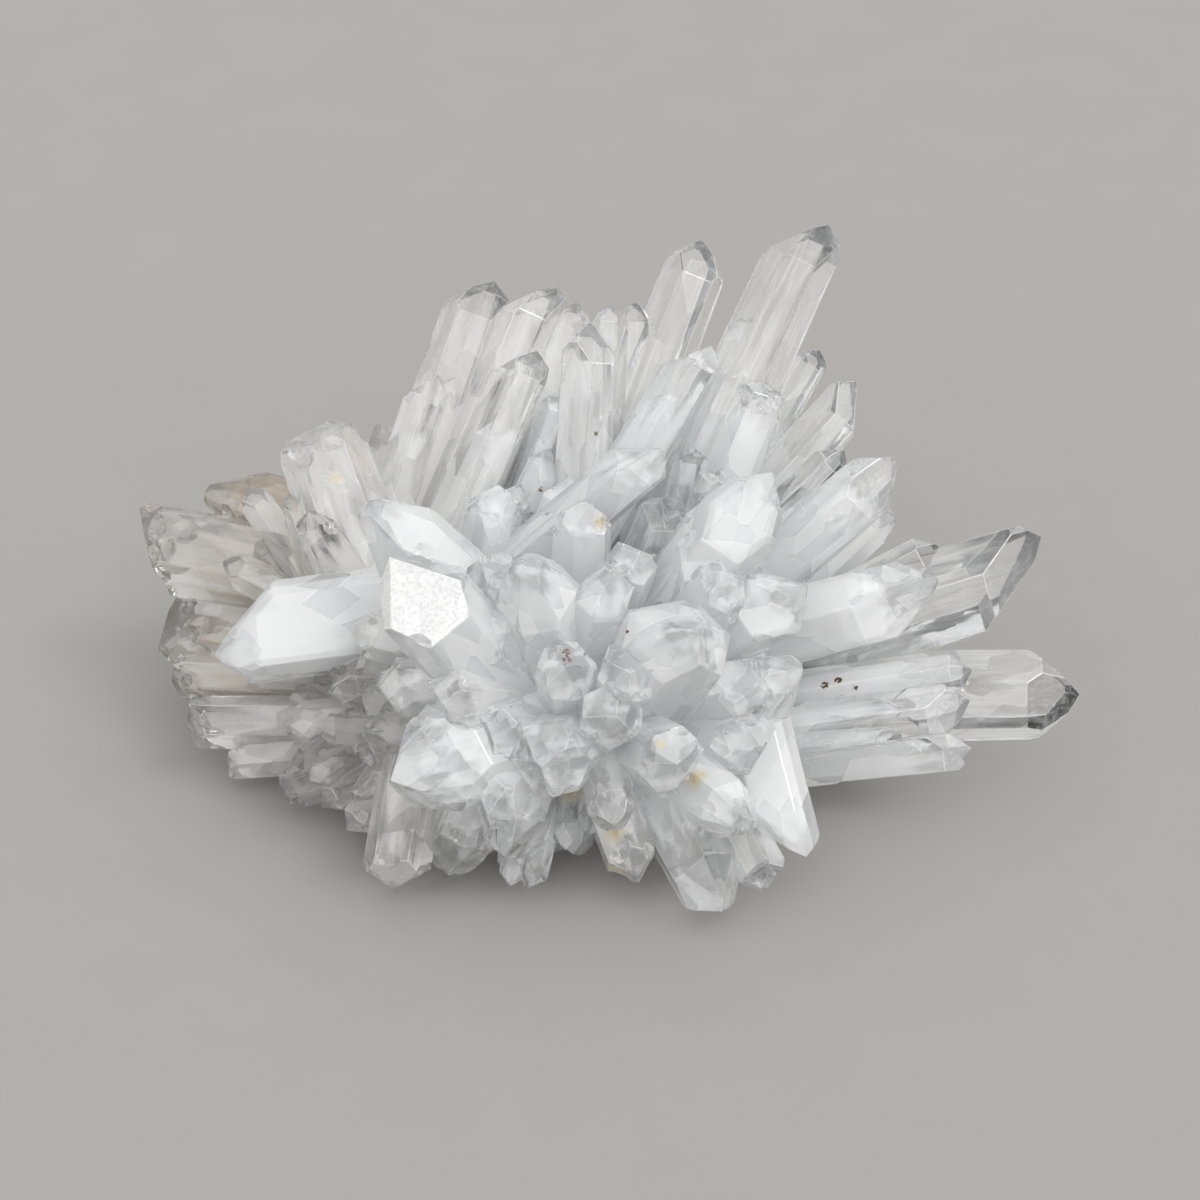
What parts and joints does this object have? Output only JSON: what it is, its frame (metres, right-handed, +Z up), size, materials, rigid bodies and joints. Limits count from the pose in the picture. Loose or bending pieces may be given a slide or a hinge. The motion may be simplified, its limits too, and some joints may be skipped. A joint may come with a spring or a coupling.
{
  "type": "quartz cluster",
  "caption": "Radiating cluster of clear to milky quartz crystals, pointed and broken, grown together on one flat-bottomed base.",
  "frame": {"origin": "on the ground plane below the middle of the cluster's box", "axes": "+Z up, +X along the cluster's longest extent towards the long clear crystals, -Y the front side of the picture"},
  "size_m": [0.1188, 0.0826, 0.0613],
  "materials": {
    "quartz": "clear to milky natural crystal, glossy faces, rough broken ends"
  },
  "bodies": {
    "root": {"quartz_cluster": "quartz"}
  },
  "joints": []
}
